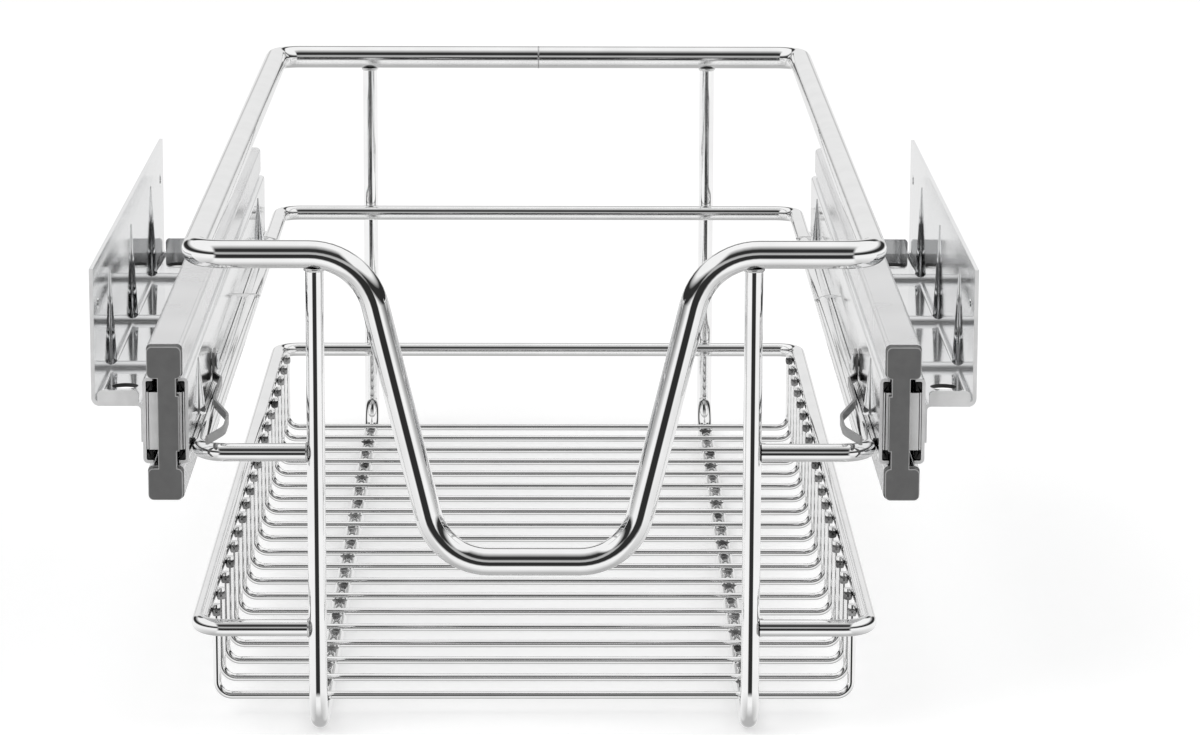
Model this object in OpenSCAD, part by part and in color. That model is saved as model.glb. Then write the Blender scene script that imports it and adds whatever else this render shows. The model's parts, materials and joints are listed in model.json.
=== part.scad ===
// Pull-out wire basket on full-extension ball slides, for the inside of a base cabinet.
// +X is to the right, +Y goes into the cabinet, +Z is up. The basket stands on z = 0,
// and the origin is the middle of the whole unit's footprint. It is drawn pushed in.

/* [Cabinet fit] */
// Width over the outer faces of the two side brackets, mm
unit_w = 264; // [220:1:560]
// Distance from each cabinet side to the outer face of its bracket's slide strip, mm
bracket_reach = 14.7; // [12:0.1:30]
// How far the basket pulls out, mm
travel = 330; // [280:1:335]

/* [Basket wires] */
// Depth of the basket, from the front wires' centre to the rear wires' centre, mm
basket_d = 425; // [380:1:520]
// Diameter of the thick rod of the top loop, mm
handle_rod = 8.4; // [6:0.1:10]
// Diameter of the support wires and of the middle loop, mm
support_rod = 5.5; // [4:0.1:7]
// Diameter of the tray's rim wire, mm
rim_rod = 5.2; // [3.6:0.1:7]
// Diameter of the thin cross wires, mm
cross_rod = 2.4; // [2:0.1:3.4]
// Distance between the two support wires, centre to centre, mm
support_gap = 130; // [110:1:150]
// Height of the rim wire's centre above the base, mm
rim_h = 34; // [24:0.5:50]
// Height of the middle loop's centre above the base, mm
middle_h = 88; // [76:0.5:110]
// Height of the top loop's centre above the base, mm
handle_h = 148; // [138:0.5:190]
// How far the top loop stands out past the slides' drawer members, mm
handle_overhang = 2.4; // [0:0.1:5]
// How far the tray's rim stands out past the middle loop, mm
rim_overhang = 1; // [0:0.1:3]
// Bend radius of the top loop's four corners, on the rod's centre line, mm
handle_corner_r = 9; // [8:0.5:16]
// Bend radius of the middle loop's and the rim's corners, on the centre line, mm
loop_corner_r = 8; // [6:0.5:14]
// Bend radius of the support wires under the tray, on the centre line, mm
support_bend_r = 12; // [8:0.5:18]

/* [Front dip] */
// Depth of the dip in the top loop's front, centre line to centre line, mm
dip_depth = 93.5; // [60:0.5:100]
// Width between the two sharp lower corners that the dip's bends round off, mm
dip_corner_w = 56.4; // [50:0.1:66]
// Lean of the dip's legs from upright, degrees
dip_lean = 13.6; // [6:0.1:18]
// Bend radius where the dip leaves the front bar, mm
dip_top_r = 20; // [12:0.5:24]
// Bend radius at the bottom of the dip, mm
dip_bottom_r = 18.7; // [12:0.1:24]

/* [Tray wires] */
// Number of cross wires that make the tray's floor and sides
cross_count = 20; // [12:1:21]
// Distance from the front wires, and from the rear ones, to the nearest cross wire, mm
cross_end_gap = 22.5; // [16:0.5:40]
// Bend radius of a cross wire's two lower corners, on the centre line, mm
cross_bend_r = 4.5; // [3:0.5:10]
// How far a cross wire's ends stand above the rim wire's centre, mm
cross_end_rise = 1.5; // [0:0.1:2.4]

/* [Slides] */
// Length of the cabinet member and of the drawer member, mm
member_len = 370; // [355:1:385]
// Distance from the middle profile's front end back to the front of the members, mm
member_setback = 1.5; // [1:0.1:6]
// Overall height of a cabinet member or drawer member, mm
member_h = 26; // [24:0.5:30]
// Sheet thickness of the members and of the rails, mm
member_t = 1; // [0.8:0.1:1.1]
// Distance from the slide's centre plane to a member's outer face, mm
member_face = 6.8; // [6.7:0.1:7.8]
// Distance from a drawer member's ends to its two pressed ribs, mm
rib_margin = 40; // [30:1:60]
// Radius of a rib at its foot, mm
rib_r = 2.2; // [1:0.1:2.4]
// Height of a rib's foot above the middle loop's wire, mm
rib_clear = 1.2; // [0.8:0.1:3]
// Height of the slide's centre above the middle loop's centre, mm
slide_rise = 10.4; // [9:0.1:11]
// Overall height of the middle profile, mm
profile_h = 47; // [42:0.5:54]
// Width of the middle profile's upper and lower boxes, mm
profile_w = 10.8; // [9:0.1:11.6]
// Wall of the middle profile's boxes, mm
profile_wall = 1.2; // [0.8:0.1:1.5]
// Thickness of the middle profile's doubled web, mm
web_t = 2; // [1.6:0.1:2]
// Outer corner radius of the middle profile's boxes, mm
profile_corner_r = 1.6; // [0.8:0.1:2.5]
// Inner corner radius of the middle profile's boxes, mm
profile_inner_r = 0.5; // [0.2:0.1:1]
// Distance from the middle profile's front end back to its rails, mm
rail_setback = 1; // [0:0.5:4]
// Diameter of the bearing balls, mm
ball_d = 3.2; // [2.6:0.1:3.4]
// Balls in each row of a cage
balls_per_row = 8; // [4:1:9]
// Distance between balls in a row, mm
ball_pitch = 20; // [8:0.5:21]
// Length of a ball cage past the middle of its first and last balls, mm
cage_end = 10; // [6:0.5:14]
// Thickness of a ball cage's back, mm
cage_t = 0.4; // [0.3:0.1:0.5]
// How far a ball cage's fingers reach past the balls' centres, mm
cage_reach = 1; // [0.6:0.1:1.4]
// Distance left between a cage and the stop before it when the basket is out, mm
cage_rest_gap = 5.5; // [2:0.5:8]
// Diameter of the rivets' shanks in the slides and brackets, mm
rivet_d = 4; // [3:0.1:5]
// Diameter of the rivets' heads in the slides and brackets, mm
rivet_head_d = 6.8; // [5.6:0.1:8]
// Height of the rivets' heads in the slides and brackets, mm
rivet_head_t = 1; // [0.6:0.1:1.4]
// Rail rivets on each slide
rail_rivet_count = 4; // [2:1:6]
// Distance from the middle profile's ends to its first and last rivets, mm
rail_rivet_margin = 40; // [20:1:60]

/* [End caps and stops] */
// Thickness of the front end cap's face plate, mm
cap_t = 3; // [2:0.1:4]
// Distance from the basket's front wires forward to the caps' face, mm
cap_lead = 8; // [7.5:0.1:12]
// Thickness of the rear end cap's face plate, mm
rear_cap_t = 2; // [1.5:0.1:4]
// Distance from the slide's centre plane to the cap's neck on the cabinet's side, mm
cap_neck_out = 2; // [1.5:0.1:4]
// Distance from the slide's centre plane to the cap's neck on the drawer's side, mm
cap_neck_in = 3.5; // [2.5:0.1:3.6]
// How far the ear on the neck reaches into the drawer member, mm
cap_ear = 0.8; // [0.4:0.1:1]
// Margin of profile edge left bare around a cap, mm
cap_margin = 0.3; // [0.1:0.1:0.6]
// Length of the plugs that hold a cap in the profile's boxes, mm
cap_plug_len = 12; // [6:1:20]
// Length of the black stop at the front of each member, mm
stop_len = 7; // [4:0.5:12]

/* [Side brackets] */
// Length of a side bracket, mm
bracket_len = 250; // [220:1:300]
// Distance from the members' front back to the front of the side brackets, mm
bracket_inset = 7.5; // [3:0.5:30]
// Height of the bracket's upright plate, mm
plate_h = 41.5; // [36:0.5:60]
// Sheet thickness of the bracket, mm
bracket_t = 1.2; // [1:0.1:2]
// Bend radius of the bracket's two folds, on the sheet's centre line, mm
bracket_bend_r = 1.8; // [1.2:0.1:3]
// Height of the flange's underside above the slide's centre, mm
flange_rise = 2.8; // [2:0.1:6]
// How far the slide strip hangs down from the flange's underside, mm
strip_drop = 11; // [10:0.5:14]
// Distance from the upright plate's ends to its two screw holes, mm
plate_hole_end = 13; // [8:1:30]
// Diameter of the screw holes in the upright plate, mm
plate_hole_d = 4.5; // [3.5:0.1:6]
// Height of the plate's screw holes above the flange's underside, mm
plate_hole_h = 29; // [20:0.5:31]
// Distance from the flange's ends to its two holes, mm
flange_hole_end = 23.5; // [12:0.5:30]
// Diameter of the holes in the flange, mm
flange_hole_d = 8; // [4:0.1:9]
// Number of stiffening beads across each bracket
bead_count = 3; // [1:1:3]
// Distance between the stiffening beads, mm
bead_pitch = 74; // [50:1:80]
// Radius of a stiffening bead at the foot of the plate, mm
bead_r = 2; // [1.4:0.1:2.2]
// Radius of a stiffening bead across the flange, mm
cross_bead_r = 2.6; // [2.2:0.1:3]
// Radius of a bead's or rib's point, mm
bead_point_r = 0.2; // [0.1:0.1:0.5]
// Height of a bead's point above the flange's middle, mm
bead_h = 32.5; // [15:0.5:33]
// Height of the turned-up lip at the flange's rear above the flange's underside, mm
rear_lip_h = 6.4; // [3:0.1:9]
// Height of the turned-up lip at the flange's front above the flange's underside, mm
front_lip_h = 4.8; // [2.5:0.1:7]
// Distance from the flange's lips to the bracket's plate and slide strip, mm
lip_inset = 1.8; // [1.5:0.1:4]
// Radius of the lips' upper corners, mm
lip_corner_r = 1.4; // [0.5:0.1:2.4]
// Rivets that hold each cabinet member to its bracket
bracket_rivet_count = 3; // [2:1:4]
// Distance from a bracket's ends to its first and last rivets, mm
bracket_rivet_margin = 30; // [20:1:60]
// Height of those rivets above the slide strip's lower edge, mm
bracket_rivet_rise = 5; // [4.5:0.1:6]

/* [Release levers] */
// Height of a lever's spring strip, mm
lever_strip_h = 2.6; // [2:0.1:3.4]
// Thickness of a lever, mm
lever_t = 0.8; // [0.6:0.1:1]
// Gap between a lever and the middle loop's wire under it, mm
lever_clear = 0.7; // [0.5:0.1:1.2]
// Distance from the basket's front wires back to a lever's pivot, mm
lever_pivot_back = 92; // [88:0.5:110]
// Height of a lever's pivot above the middle of its spring strip, mm
lever_pivot_rise = 4; // [3.2:0.1:5]
// Length of the tab that holds a lever's pivot, mm
lever_tab_len = 8; // [6:0.5:10]
// Height of that tab above the pivot, mm
lever_tab_top = 3.5; // [2.8:0.1:4.5]
// How far a lever's spring strip stands in from its drawer member, mm
lever_stand = 3.6; // [3:0.1:4.5]
// Length over which the strip steps in from the tab, mm
lever_step = 7; // [6:0.5:10]
// How far a lever's finger bow stands in from its drawer member, mm
lever_bow = 9.6; // [8:0.1:10.5]
// Distance from the basket's front wires back to the start of the bow, mm
lever_bow_back = 49; // [46:0.5:60]
// Length over which the strip bows in, mm
lever_bow_ramp = 23; // [20:0.5:26]
// Length of the bow's straight middle, bends included, mm
lever_bow_flat = 17; // [15:0.5:20]
// How far a lever's tip reaches in front of the basket's front wires, mm
lever_tip_lead = 5; // [3:0.5:7]
// How far a lever's tip stands in from its drawer member, mm
lever_tip_stand = 5.4; // [4:0.1:6.5]
// Bend radius of the step next to the tab, on the strip's centre line, mm
lever_step_r = 4; // [2:0.5:6]
// Bend radius at the start of the bow, on the strip's centre line, mm
lever_ramp_r = 32; // [16:1:38]
// Bend radius of the bow's rear corner, on the strip's centre line, mm
lever_bow_r = 26; // [14:1:32]
// Bend radius of the bow's front corner, on the strip's centre line, mm
lever_tip_r = 22; // [12:1:28]
// Diameter of a lever's pivot rivet, mm
pivot_d = 3; // [2.4:0.1:3.6]
// Diameter of the pivot rivet's head, mm
pivot_head_d = 5.4; // [4.6:0.1:6]
// Height of the pivot rivet's head, mm
pivot_head_t = 0.8; // [0.5:0.1:1.2]

/* [Clearances] */
// Gap left for the weld where two wires or a wire and a member touch, mm
weld_gap = 0.05; // [0.02:0.01:0.1]
// Gap between parts that slide past each other, mm
slide_gap = 0.3; // [0.2:0.05:0.35]
// Gap between a cage or a stop and the web of its member, mm
cage_gap = 0.2; // [0.2:0.05:0.3]
// Gap between a ball and the faces it rolls on, mm
ball_gap = 0.05; // [0.03:0.01:0.1]
// Gap around a ball in its pocket in the cage, mm
pocket_gap = 0.1; // [0.05:0.01:0.15]
// Gap around a rivet's shank in its hole, mm
pin_gap = 0.05; // [0.02:0.01:0.1]
// Gap around a cap's plug in its box, mm
plug_gap = 0.1; // [0.05:0.05:0.2]

/* [Hidden] */
$fn = 48;
SIDES = ["left", "right"];
SIDE_PARTS = ["side_bracket", "cabinet_member", "outer_stop", "outer_ball_cage", "outer_balls",
              "middle_profile", "outer_rail", "inner_rail", "rail_rivets", "front_end_cap",
              "rear_end_cap", "inner_ball_cage", "inner_balls", "drawer_member", "inner_stop",
              "release_lever"];
function cross_name(i) = str("cross_wire_", i < 10 ? "0" : "", i);

// Along Y: the caps lead at the front, and the top loop's rear bar ends the unit.
front_reach = max(cap_lead, handle_rod / 2);
rear_reach = handle_rod / 2;
front_y = front_reach - (front_reach + basket_d + rear_reach) / 2;
rear_y = front_y + basket_d;
rear_run_y = rear_y - support_rod / 2 - weld_gap;
cross_pitch = (basket_d - 2 * cross_end_gap) / (cross_count - 1);
profile_y = front_y - cap_lead + cap_t;
member_y = profile_y + member_setback;
member_end_y = member_y + member_len;
profile_len = member_end_y - profile_y;
cage_y = member_y + stop_len + cage_rest_gap + travel / 4;
cage_len = (balls_per_row - 1) * ball_pitch + 2 * cage_end;
bracket_y = member_y + bracket_inset;
bracket_mid_y = bracket_y + bracket_len / 2;

// Across X, from the cabinet side inwards.
plate_x = unit_w / 2;
strip_x = plate_x - bracket_reach;
slide_x = strip_x - bracket_t - member_face;
drawer_face_x = slide_x - member_face;
flange_mid_x = (plate_x + strip_x - bracket_t) / 2;
middle_x = drawer_face_x - weld_gap - support_rod / 2;
handle_x = drawer_face_x + handle_overhang - handle_rod / 2;
rim_x = middle_x + support_rod / 2 + rim_overhang - rim_rod / 2;
cross_leg_x = rim_x - rim_rod / 2 - weld_gap - cross_rod / 2;
support_x = support_gap / 2;
dip_low_x = dip_corner_w / 2;
dip_high_x = dip_low_x + dip_depth * tan(dip_lean);
dip_start_x = dip_high_x + dip_top_r * tan(45 - dip_lean / 2);

// Up Z, from the base.
support_z = support_rod / 2;
cross_z = support_rod + weld_gap + cross_rod / 2;
slide_z = middle_h + slide_rise;
flange_z = slide_z + flange_rise;
bracket_rivet_z = flange_z - strip_drop + bracket_rivet_rise;
lever_z = middle_h + support_rod / 2 + lever_clear + lever_strip_h / 2;
pivot_z = lever_z + lever_pivot_rise;
pivot_y = front_y + lever_pivot_back;

// Slide section: u is outwards from the slide's centre plane, v is up from its centre.
box_low_v = member_h / 2 + slide_gap;
box_h = profile_h / 2 - box_low_v;
lip_tip_u = cap_neck_in + slide_gap;
race_u = member_face - member_t;
race_v = member_h / 2 - member_t;
ball_u = race_u - ball_gap - ball_d / 2;
ball_v = race_v - ball_gap - ball_d / 2;
rail_back_u = web_t / 2 + member_t;
rail_tip_u = race_u - cage_gap - cage_t - slide_gap;
rail_v = ball_v - ball_d / 2 - ball_gap;

// How far a straight laps into a bend, and how much thinner a bend is on each side.
bend_lap = 0.05;
bend_step = 0.01;

// Angle between two directions, and the length that a bend takes from a straight.
function turn_of(a, b) = acos(max(-1, min(1, (a * b) / (norm(a) * norm(b)))));
function unit(a) = a / norm(a);
function trim_of(p, r, i) = (i <= 0 || i >= len(p) - 1) ? 0
    : r[i - 1] * tan(turn_of(p[i] - p[i - 1], p[i + 1] - p[i]) / 2);
function side_of(d) = unit(cross(d, abs(unit(d).z) < 0.9 ? [0, 0, 1] : [1, 0, 0]));

// Place of item i of a row that runs along a length, with a margin at both ends.
function in_row(i, count, run, margin) = margin + (run - 2 * margin) * i / (count - 1);

// A frame with its X, Y and Z along three unit vectors.
module frame_at(origin, x, y, z) {
    multmatrix([[x.x, y.x, z.x, origin.x], [x.y, y.y, z.y, origin.y], [x.z, y.z, z.z, origin.z]])
        children();
}

// A round wire along the points, bent at each inner point to that point's centre-line radius.
// The straights lap a little into the bends, which are drawn a hair thinner.
module wire(points, radii, rod) {
    last = len(points) - 2;
    for (i = [0 : last]) {
        along = unit(points[i + 1] - points[i]);
        across = side_of(along);
        lead = trim_of(points, radii, i) - (i > 0 ? bend_lap : 0);
        tail = trim_of(points, radii, i + 1) - (i < last ? bend_lap : 0);
        frame_at(points[i] + along * lead, across, cross(along, across), along)
            cylinder(d = rod, h = norm(points[i + 1] - points[i]) - lead - tail);
    }
    for (i = [1 : last]) {
        before = unit(points[i] - points[i - 1]);
        after = unit(points[i + 1] - points[i]);
        start = points[i] - before * trim_of(points, radii, i);
        inwards = unit(after - before * (after * before));
        frame_at(start + inwards * radii[i - 1], -inwards, before, cross(-inwards, before))
            rotate_extrude(angle = turn_of(before, after))
                translate([radii[i - 1], 0]) circle(d = rod - 2 * bend_step);
    }
}

// A strip of sheet of the given thickness and width, standing on XY and bent along flat points.
module strip(points, radii, thick, width) {
    last = len(points) - 2;
    for (i = [0 : last]) {
        run = points[i + 1] - points[i];
        lead = trim_of(points, radii, i) - (i > 0 ? bend_lap : 0);
        tail = trim_of(points, radii, i + 1) - (i < last ? bend_lap : 0);
        translate([points[i].x, points[i].y, 0]) rotate(atan2(run.y, run.x))
            translate([lead, -thick / 2, 0]) cube([norm(run) - lead - tail, thick, width]);
    }
    for (i = [1 : last]) {
        before = unit(points[i] - points[i - 1]);
        after = unit(points[i + 1] - points[i]);
        inwards = unit(after - before * (after * before));
        centre = points[i] - before * trim_of(points, radii, i) + inwards * radii[i - 1];
        turn = turn_of(before, after);
        turns_left = before.x * after.y - before.y * after.x > 0;
        begin = atan2(-inwards.y, -inwards.x) - (turns_left ? 0 : turn);
        translate([centre.x, centre.y, 0]) rotate(begin) rotate_extrude(angle = turn)
            translate([radii[i - 1] - thick / 2 + bend_step, 0])
                square([thick - 2 * bend_step, width]);
    }
}

// Turns a shape that stands on XY to lie along Y, from y = begin to begin + run.
module lay_y(begin, run) { translate([0, begin + run, 0]) rotate([90, 0, 0]) children(); }
module extrude_y(begin, run) { lay_y(begin, run) linear_extrude(run) children(); }

// Everything on a side is drawn for the right and mirrored for the left.
module on_side(s) { mirror([s == "left" ? 1 : 0, 0, 0]) children(); }
module at_slide() { translate([slide_x, 0, slide_z]) children(); }
// The inner half of a slide is its outer half mirrored in the slide's centre plane.
module half_slide(inner) { at_slide() mirror([inner ? 1 : 0, 0, 0]) children(); }

module rounded_rect(w, h, r) {
    square([w - 2 * r, h], center = true);
    square([w, h - 2 * r], center = true);
    for (x = [-1, 1], y = [-1, 1]) translate([x * (w / 2 - r), y * (h / 2 - r)]) circle(r);
}

module x_pin(d, from, to) { translate([from, 0, 0]) rotate([0, 90, 0]) cylinder(d = d, h = to - from); }

// ---- Basket ----

// Top loop: one thick rod, dipped at the front and butt-welded at the rear.
module top_loop() color("silver") {
    low = handle_h - dip_depth;
    wire([[0, rear_y, handle_h], [handle_x, rear_y, handle_h], [handle_x, front_y, handle_h],
          [dip_high_x, front_y, handle_h], [dip_low_x, front_y, low], [-dip_low_x, front_y, low],
          [-dip_high_x, front_y, handle_h], [-handle_x, front_y, handle_h],
          [-handle_x, rear_y, handle_h], [0, rear_y, handle_h]],
         [handle_corner_r, handle_corner_r, dip_top_r, dip_bottom_r, dip_bottom_r, dip_top_r,
          handle_corner_r, handle_corner_r], handle_rod);
}

// A loop that is open at the front, where its ends butt against the support wires.
module open_loop(half_w, z, rod) {
    end_x = support_x + support_rod / 2 + weld_gap;
    back_y = rear_run_y - rod / 2;
    wire([[-end_x, front_y, z], [-half_w, front_y, z], [-half_w, back_y, z], [half_w, back_y, z],
          [half_w, front_y, z], [end_x, front_y, z]],
         [loop_corner_r, loop_corner_r, loop_corner_r, loop_corner_r], rod);
}

module middle_loop() color("silver") open_loop(middle_x, middle_h, support_rod);
module tray_rim() color("silver") open_loop(rim_x, rim_h, rim_rod);

// Depth of the front bar's underside at x below its straight part, where the dip begins.
function bar_drop(x) = let (r = dip_top_r - handle_rod / 2, into = max(0, dip_start_x - x))
    r - sqrt(r * r - into * into);

// Support wire: down at the front, back under the tray and up at the rear.
module support_wire(s) color("silver") on_side(s) {
    bar_z = handle_h - handle_rod / 2 - weld_gap;
    front_top = bar_z - bar_drop(support_x - support_rod / 2);
    wire([[support_x, front_y, front_top], [support_x, front_y, support_z],
          [support_x, rear_y, support_z], [support_x, rear_y, bar_z]],
         [support_bend_r, support_bend_r], support_rod);
}

// Cross wire i of the tray, a shallow U whose ends stand inside the rim.
module cross_wire(i) color("silver") {
    y = front_y + cross_end_gap + (i - 1) * cross_pitch;
    top = rim_h + cross_end_rise;
    wire([[-cross_leg_x, y, top], [-cross_leg_x, y, cross_z], [cross_leg_x, y, cross_z],
          [cross_leg_x, y, top]], [cross_bend_r, cross_bend_r], cross_rod);
}

// ---- Slides ----

// C-shaped member around a rail: the cabinet's on the outside, the drawer's on the inside.
module member() {
    mid_u = member_face - member_t / 2;
    lip_v = (member_h - member_t) / 2;
    lay_y(member_y, member_len)
        strip([[lip_tip_u, lip_v], [mid_u, lip_v], [mid_u, -lip_v], [lip_tip_u, -lip_v]],
              [member_t, member_t], member_t, member_len);
}

// Places of the rivets that hold a cabinet member to its bracket.
module at_bracket_rivets() {
    for (i = [0 : bracket_rivet_count - 1])
        translate([slide_x, bracket_y + in_row(i, bracket_rivet_count, bracket_len, bracket_rivet_margin),
                   bracket_rivet_z]) children();
}

module cabinet_member(s) color("gainsboro") on_side(s) difference() {
    half_slide(false) member();
    at_bracket_rivets() x_pin(rivet_d + 2 * pin_gap, race_u - member_t, member_face + member_t);
}

// Rib on a drawer member's face, running up from above the middle loop to a point.
module rib(y) {
    foot_z = middle_h + support_rod / 2 + rib_clear;
    run = slide_z + member_h / 2 - 2 * member_t - foot_z;
    translate([drawer_face_x, y, foot_z]) intersection() {
        cylinder(r1 = rib_r, r2 = bead_point_r, h = run);
        translate([-rib_r, -rib_r, 0]) cube([rib_r + member_t / 2, 2 * rib_r, run]);
    }
}

module drawer_member(s) color("gainsboro") on_side(s) difference() {
    union() {
        half_slide(true) member();
        for (i = [0, 1]) rib(member_y + in_row(i, 2, member_len, rib_margin));
    }
    translate([slide_x, pivot_y, pivot_z])
        x_pin(pivot_d + 2 * pin_gap, -member_face - member_t, -race_u + member_t);
}

// Places of the rivets that hold both rails to the middle profile's web.
module at_rail_rivets() {
    for (i = [0 : rail_rivet_count - 1])
        translate([slide_x, profile_y + in_row(i, rail_rivet_count, profile_len, rail_rivet_margin),
                   slide_z]) children();
}

module rail_rivet_holes() { at_rail_rivets() x_pin(rivet_d + 2 * pin_gap, -profile_w, profile_w); }

// C-shaped rail riveted to the middle profile's web, with a row of balls above and below it.
// A plate closes its front end.
module rail(s, inner) color("gainsboro") on_side(s) difference() {
    mid_u = rail_back_u - member_t / 2;
    lip_v = rail_v - member_t / 2;
    rail_y = profile_y + rail_setback;
    run = profile_len - rail_setback;
    half_slide(inner) {
        lay_y(rail_y, run)
            strip([[rail_tip_u, lip_v], [mid_u, lip_v], [mid_u, -lip_v], [rail_tip_u, -lip_v]],
                  [member_t, member_t], member_t, run);
        translate([mid_u, rail_y, -lip_v]) cube([rail_tip_u - mid_u, member_t, 2 * lip_v]);
    }
    rail_rivet_holes();
}

// The outline of the middle profile's two boxes.
module two_boxes(w, h, r) {
    for (v = [-1, 1]) translate([0, v * (box_low_v + box_h / 2)]) rounded_rect(w, h, r);
}

// Middle profile: two hollow boxes joined by a doubled web.
module middle_profile(s) color("whitesmoke") on_side(s) difference() {
    at_slide() extrude_y(profile_y, profile_len) difference() {
        union() {
            two_boxes(profile_w, box_h, profile_corner_r);
            square([web_t, 2 * box_low_v + profile_wall], center = true);
        }
        two_boxes(profile_w - 2 * profile_wall, box_h - 2 * profile_wall, profile_inner_r);
    }
    rail_rivet_holes();
}

module rail_rivets(s) color("silver") on_side(s) at_rail_rivets() {
    x_pin(rivet_d, -rail_back_u, rail_back_u);
    x_pin(rivet_head_d, rail_back_u, rail_back_u + rivet_head_t);
    x_pin(rivet_head_d, -rail_back_u - rivet_head_t, -rail_back_u);
}

// End cap: a face plate in the profile's outline, with two plugs that hold in its boxes.
// The neck between the boxes has an ear that the drawer member's lips pass above and below.
module cap_face() {
    neck_v = box_low_v + box_h / 2;
    ear_v = rail_v - slide_gap;
    two_boxes(profile_w - 2 * cap_margin, box_h - 2 * cap_margin, profile_corner_r);
    translate([-cap_neck_in, -neck_v]) square([cap_neck_in + cap_neck_out, 2 * neck_v]);
    translate([-cap_neck_in - cap_ear, -ear_v]) square([cap_neck_in + cap_ear, 2 * ear_v]);
}

module cap_plugs() {
    rim = 2 * (profile_wall + plug_gap);
    two_boxes(profile_w - rim, box_h - rim, profile_inner_r);
}

module front_end_cap(s) color("dimgray") on_side(s) at_slide() {
    extrude_y(profile_y - cap_t, cap_t) cap_face();
    extrude_y(profile_y, cap_plug_len) cap_plugs();
}

module rear_end_cap(s) color("dimgray") on_side(s) at_slide() {
    extrude_y(member_end_y, rear_cap_t) cap_face();
    extrude_y(member_end_y - cap_plug_len, cap_plug_len) cap_plugs();
}

// A back sheet with a lip above and below the rail, in the gap between rail and member.
module lipped_back(tip_u, begin, run) {
    back_u = race_u - cage_gap;
    top_v = race_v - slide_gap;
    lip_h = top_v - rail_v - slide_gap;
    translate([back_u - cage_t, begin, -top_v]) cube([cage_t, run, 2 * top_v]);
    for (v = [-top_v, top_v - lip_h]) translate([tip_u, begin, v]) cube([back_u - tip_u, run, lip_h]);
}

// Places of the balls of a cage, in a row above the rail and a row below it.
module at_balls() {
    for (i = [0 : balls_per_row - 1], v = [-1, 1])
        translate([ball_u, cage_y + cage_end + i * ball_pitch, v * ball_v]) children();
}

// Ball cage: a comb of pockets that are open towards the web.
module ball_cage(s, inner) color([0.12, 0.12, 0.13]) on_side(s) half_slide(inner) difference() {
    lipped_back(ball_u - cage_reach, cage_y, cage_len);
    at_balls() cylinder(d = ball_d + 2 * pocket_gap, h = 3 * ball_d, center = true);
}

module balls(s, inner) color("silver") on_side(s) half_slide(inner) at_balls() sphere(d = ball_d);

// Black stop at a member's front end, which keeps the cage in.
module member_stop(s, inner) color([0.1, 0.1, 0.1]) on_side(s) half_slide(inner)
    lipped_back(lip_tip_u, member_y, stop_len);

// ---- Side brackets ----

// Side bracket: an upright plate, a flange and a strip that carries the cabinet member.
module side_bracket(s) color("gainsboro") on_side(s) difference() {
    mid = bracket_t / 2;
    union() {
        lay_y(bracket_y, bracket_len)
            strip([[plate_x - mid, flange_z + plate_h], [plate_x - mid, flange_z + mid],
                   [strip_x - mid, flange_z + mid], [strip_x - mid, flange_z - strip_drop]],
                  [bracket_bend_r, bracket_bend_r], bracket_t, bracket_len);
        flange_lip(bracket_y, front_lip_h);
        flange_lip(bracket_y + bracket_len - bracket_t, rear_lip_h);
        for (i = [0 : bead_count - 1]) bead(bracket_mid_y + (i - (bead_count - 1) / 2) * bead_pitch);
    }
    for (end = [0, 1]) {
        plate_hole_y = bracket_y + in_row(end, 2, bracket_len, plate_hole_end);
        flange_hole_y = bracket_y + in_row(end, 2, bracket_len, flange_hole_end);
        translate([plate_x, plate_hole_y, flange_z + plate_hole_h])
            x_pin(plate_hole_d, -2 * bracket_t, bracket_t);
        translate([flange_mid_x, flange_hole_y, flange_z - bracket_t])
            cylinder(d = flange_hole_d, h = 3 * bracket_t);
    }
    at_bracket_rivets() x_pin(rivet_d + 2 * pin_gap, race_u, member_face + 2 * bracket_t);
}

// Turned-up lip at one of the flange's two ends.
module flange_lip(y, h) {
    lip_w = plate_x - strip_x - 2 * lip_inset + bracket_t;
    translate([flange_mid_x, 0, flange_z]) extrude_y(y, bracket_t) intersection() {
        translate([-lip_w / 2, 0]) square([lip_w, h]);
        rounded_rect(lip_w, 2 * h, lip_corner_r);
    }
}

// Stiffening bead: a half-round across the flange, running up the plate to a point.
module bead(y) {
    mid = bracket_t / 2;
    intersection() {
        union() {
            translate([0, y, flange_z + mid]) x_pin(2 * cross_bead_r, strip_x, plate_x - mid);
            translate([plate_x - bracket_t, y, flange_z + mid])
                cylinder(r1 = bead_r, r2 = bead_point_r, h = bead_h);
        }
        translate([strip_x, y - cross_bead_r, flange_z])
            cube([bracket_reach - mid, 2 * cross_bead_r, bead_h + cross_bead_r]);
    }
}

module bracket_rivets() color("silver") for (s = SIDES) on_side(s) at_bracket_rivets() {
    seat_u = member_face + bracket_t;
    x_pin(rivet_d, race_u, seat_u);
    x_pin(rivet_head_d, seat_u, seat_u + rivet_head_t);
}

// ---- Release levers ----

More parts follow.
